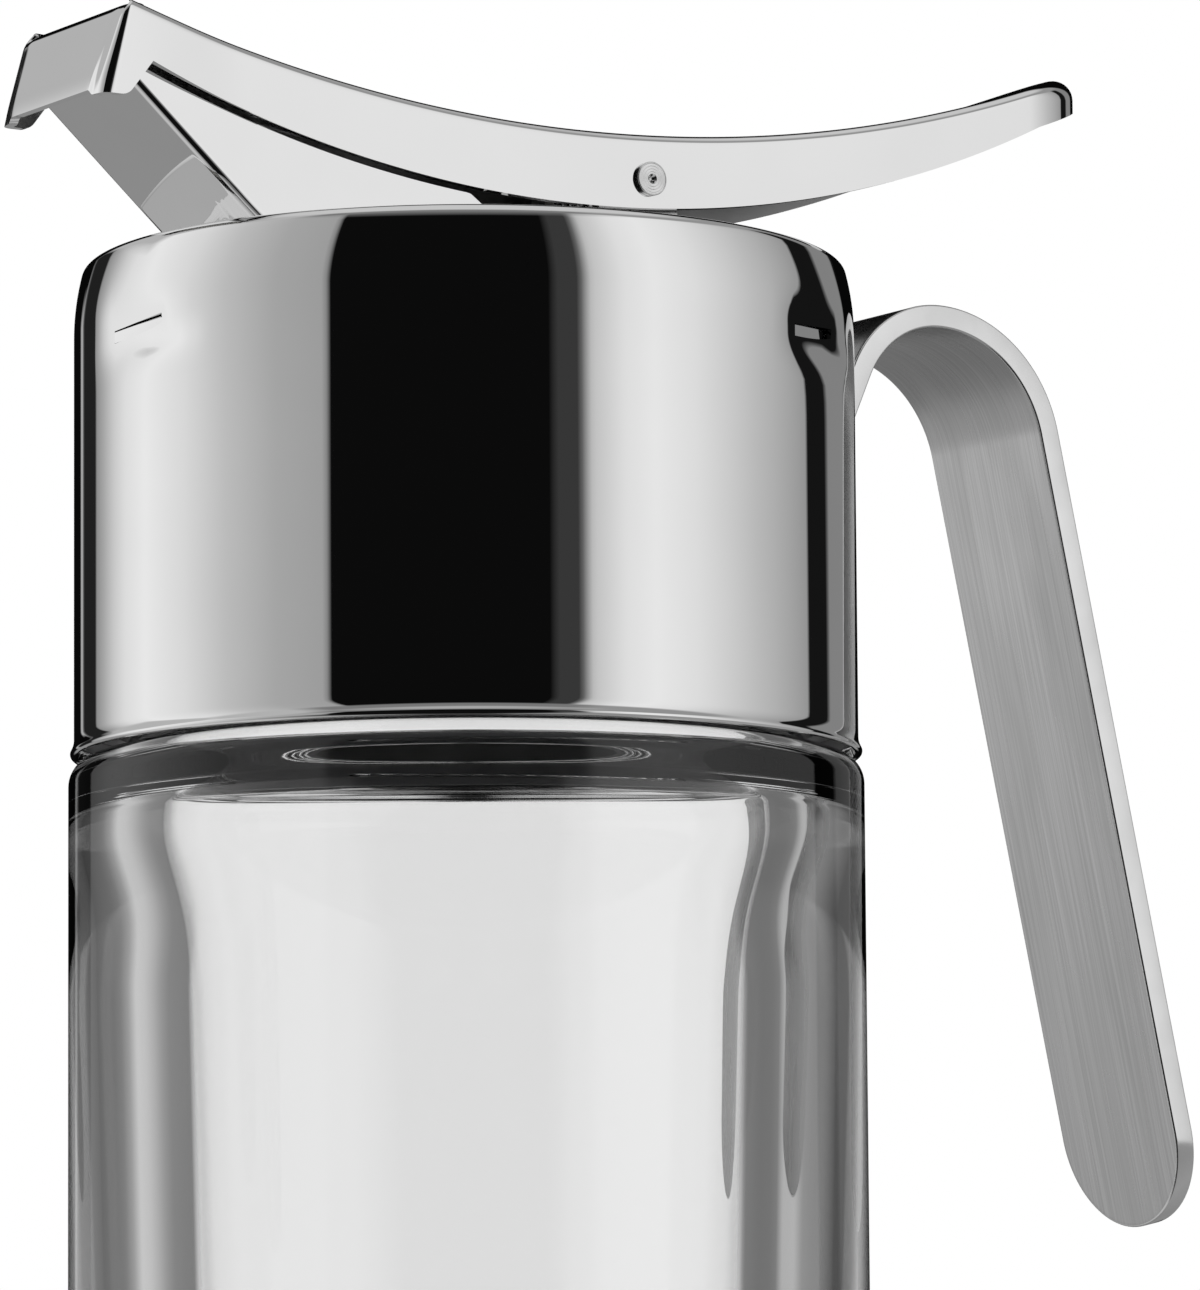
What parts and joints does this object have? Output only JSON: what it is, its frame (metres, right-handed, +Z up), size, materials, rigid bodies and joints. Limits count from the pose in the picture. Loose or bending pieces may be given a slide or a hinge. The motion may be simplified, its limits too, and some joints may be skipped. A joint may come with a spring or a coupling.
{
  "type": "honey dispenser",
  "caption": "Round thick-walled glass jar under a tall polished steel screw collar with an open pouring spout, a spring lever that is the spout's lid, and a strip handle.",
  "frame": {"origin": "middle of the jar's base", "axes": "+Z up along the jar's axis, -X towards the spout, +X towards the handle; the lever's pivot is along Y"},
  "size_m": [0.1188, 0.071, 0.1525],
  "materials": {
    "jar_glass": "clear fire-polished",
    "polished_steel": "mirror polished stainless steel",
    "brushed_handle_steel": "fine brushed",
    "satin_steel": "satin",
    "spring_steel": "drawn wire",
    "liner_plastic": "moulded matte",
    "washer_plastic": "moulded",
    "seal_silicone": "moulded silicone"
  },
  "bodies": {
    "jar": {"glass_jar": "jar_glass"},
    "seal": {"jar_seal_ring": "seal_silicone"},
    "cap": {"collar_shell": "polished_steel", "closure_liner": "liner_plastic", "pour_funnel": "liner_plastic", "outlet_gasket": "seal_silicone", "spout_chute": "polished_steel", "pivot_bracket": "satin_steel", "bracket_rivet_front": "satin_steel", "bracket_rivet_back": "satin_steel", "pivot_pin": "satin_steel", "ear_washer_near": "washer_plastic", "ear_washer_far": "washer_plastic", "spring_sleeve": "washer_plastic", "lid_spring": "spring_steel", "handle_strip": "brushed_handle_steel", "handle_backing_plate": "satin_steel", "handle_screw_near": "satin_steel", "handle_screw_far": "satin_steel"},
    "lever": {"lid_lever": "polished_steel", "mouth_pad": "seal_silicone"}
  },
  "joints": [
    {"name": "cap_lift", "type": "slide", "parent": "jar", "child": "seal", "axis": [0, 0, 1], "range_m": [0, 0.00376]},
    {"name": "cap_turn", "type": "hinge", "parent": "seal", "child": "cap", "pos_m": [0, 0, 0.084], "axis": [0, 0, 1], "range_deg": [0, 90]},
    {"name": "lever_press", "type": "hinge", "parent": "cap", "child": "lever", "pos_m": [0.0142, 0, 0.13645], "axis": [0, 1, 0], "range_deg": [0, 20], "stiffness_Nm_per_rad": 0.08, "springref_deg": -51.57, "deforming": ["lid_spring"]}
  ],
  "couplings": [
    {"joint": "cap_lift", "follows": "cap_turn", "m_per_rad": 0.0023873}
  ]
}
